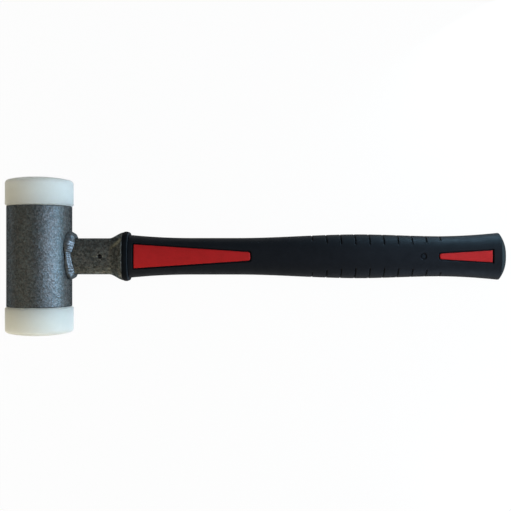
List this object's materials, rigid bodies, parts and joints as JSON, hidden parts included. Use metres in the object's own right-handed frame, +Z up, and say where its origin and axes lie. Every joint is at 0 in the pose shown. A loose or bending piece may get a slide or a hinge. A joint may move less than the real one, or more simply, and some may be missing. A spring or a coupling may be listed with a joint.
{
  "type": "dead blow hammer",
  "caption": "Dead blow hammer: shot-filled steel barrel with replaceable nylon faces, a welded handle socket and an oval soft-grip handle with coloured wedge inlays.",
  "frame": {"origin": "where the barrel's axis crosses the handle's axis, at the centre of the head", "axes": "+X along the handle towards the grip end, +Y along the barrel towards the upper face, +Z up with the hammer lying on its side"},
  "size_m": [0.3749, 0.1176, 0.05],
  "materials": {
    "hammertone_paint": "dark grey hammertone paint",
    "weld_paint": "grey paint over a rippled weld",
    "nylon": "milky satin nylon",
    "bare_steel": "turned steel",
    "fibreglass": "moulded fibreglass",
    "grip_rubber": "fine-grained soft rubber",
    "red_plastic": "satin red plastic",
    "black_plastic": "moulded black plastic"
  },
  "bodies": {
    "hammer": {"head_housing": "hammertone_paint", "upper_chamber_disc": "bare_steel", "lower_chamber_disc": "bare_steel", "handle_socket": "hammertone_paint", "weld_bead": "weld_paint", "socket_pin": "bare_steel", "handle_core": "fibreglass", "grip_collar": "grip_rubber", "grip_sleeve": "grip_rubber", "front_inlay_near": "red_plastic", "front_inlay_far": "red_plastic", "rear_inlay_near": "red_plastic", "rear_inlay_far": "red_plastic", "grip_pin": "black_plastic"},
    "shot": {"steel_shot": "bare_steel"},
    "upper_face": {"upper_face": "nylon"},
    "lower_face": {"lower_face": "nylon"}
  },
  "joints": [
    {"name": "shot_slide", "type": "slide", "parent": "hammer", "child": "shot", "axis": [0, 1, 0], "range_m": [0, 0.016]},
    {"name": "upper_face_pull", "type": "slide", "parent": "hammer", "child": "upper_face", "axis": [0, 1, 0], "range_m": [0, 0.02]},
    {"name": "lower_face_pull", "type": "slide", "parent": "hammer", "child": "lower_face", "axis": [0, -1, 0], "range_m": [0, 0.02]}
  ]
}
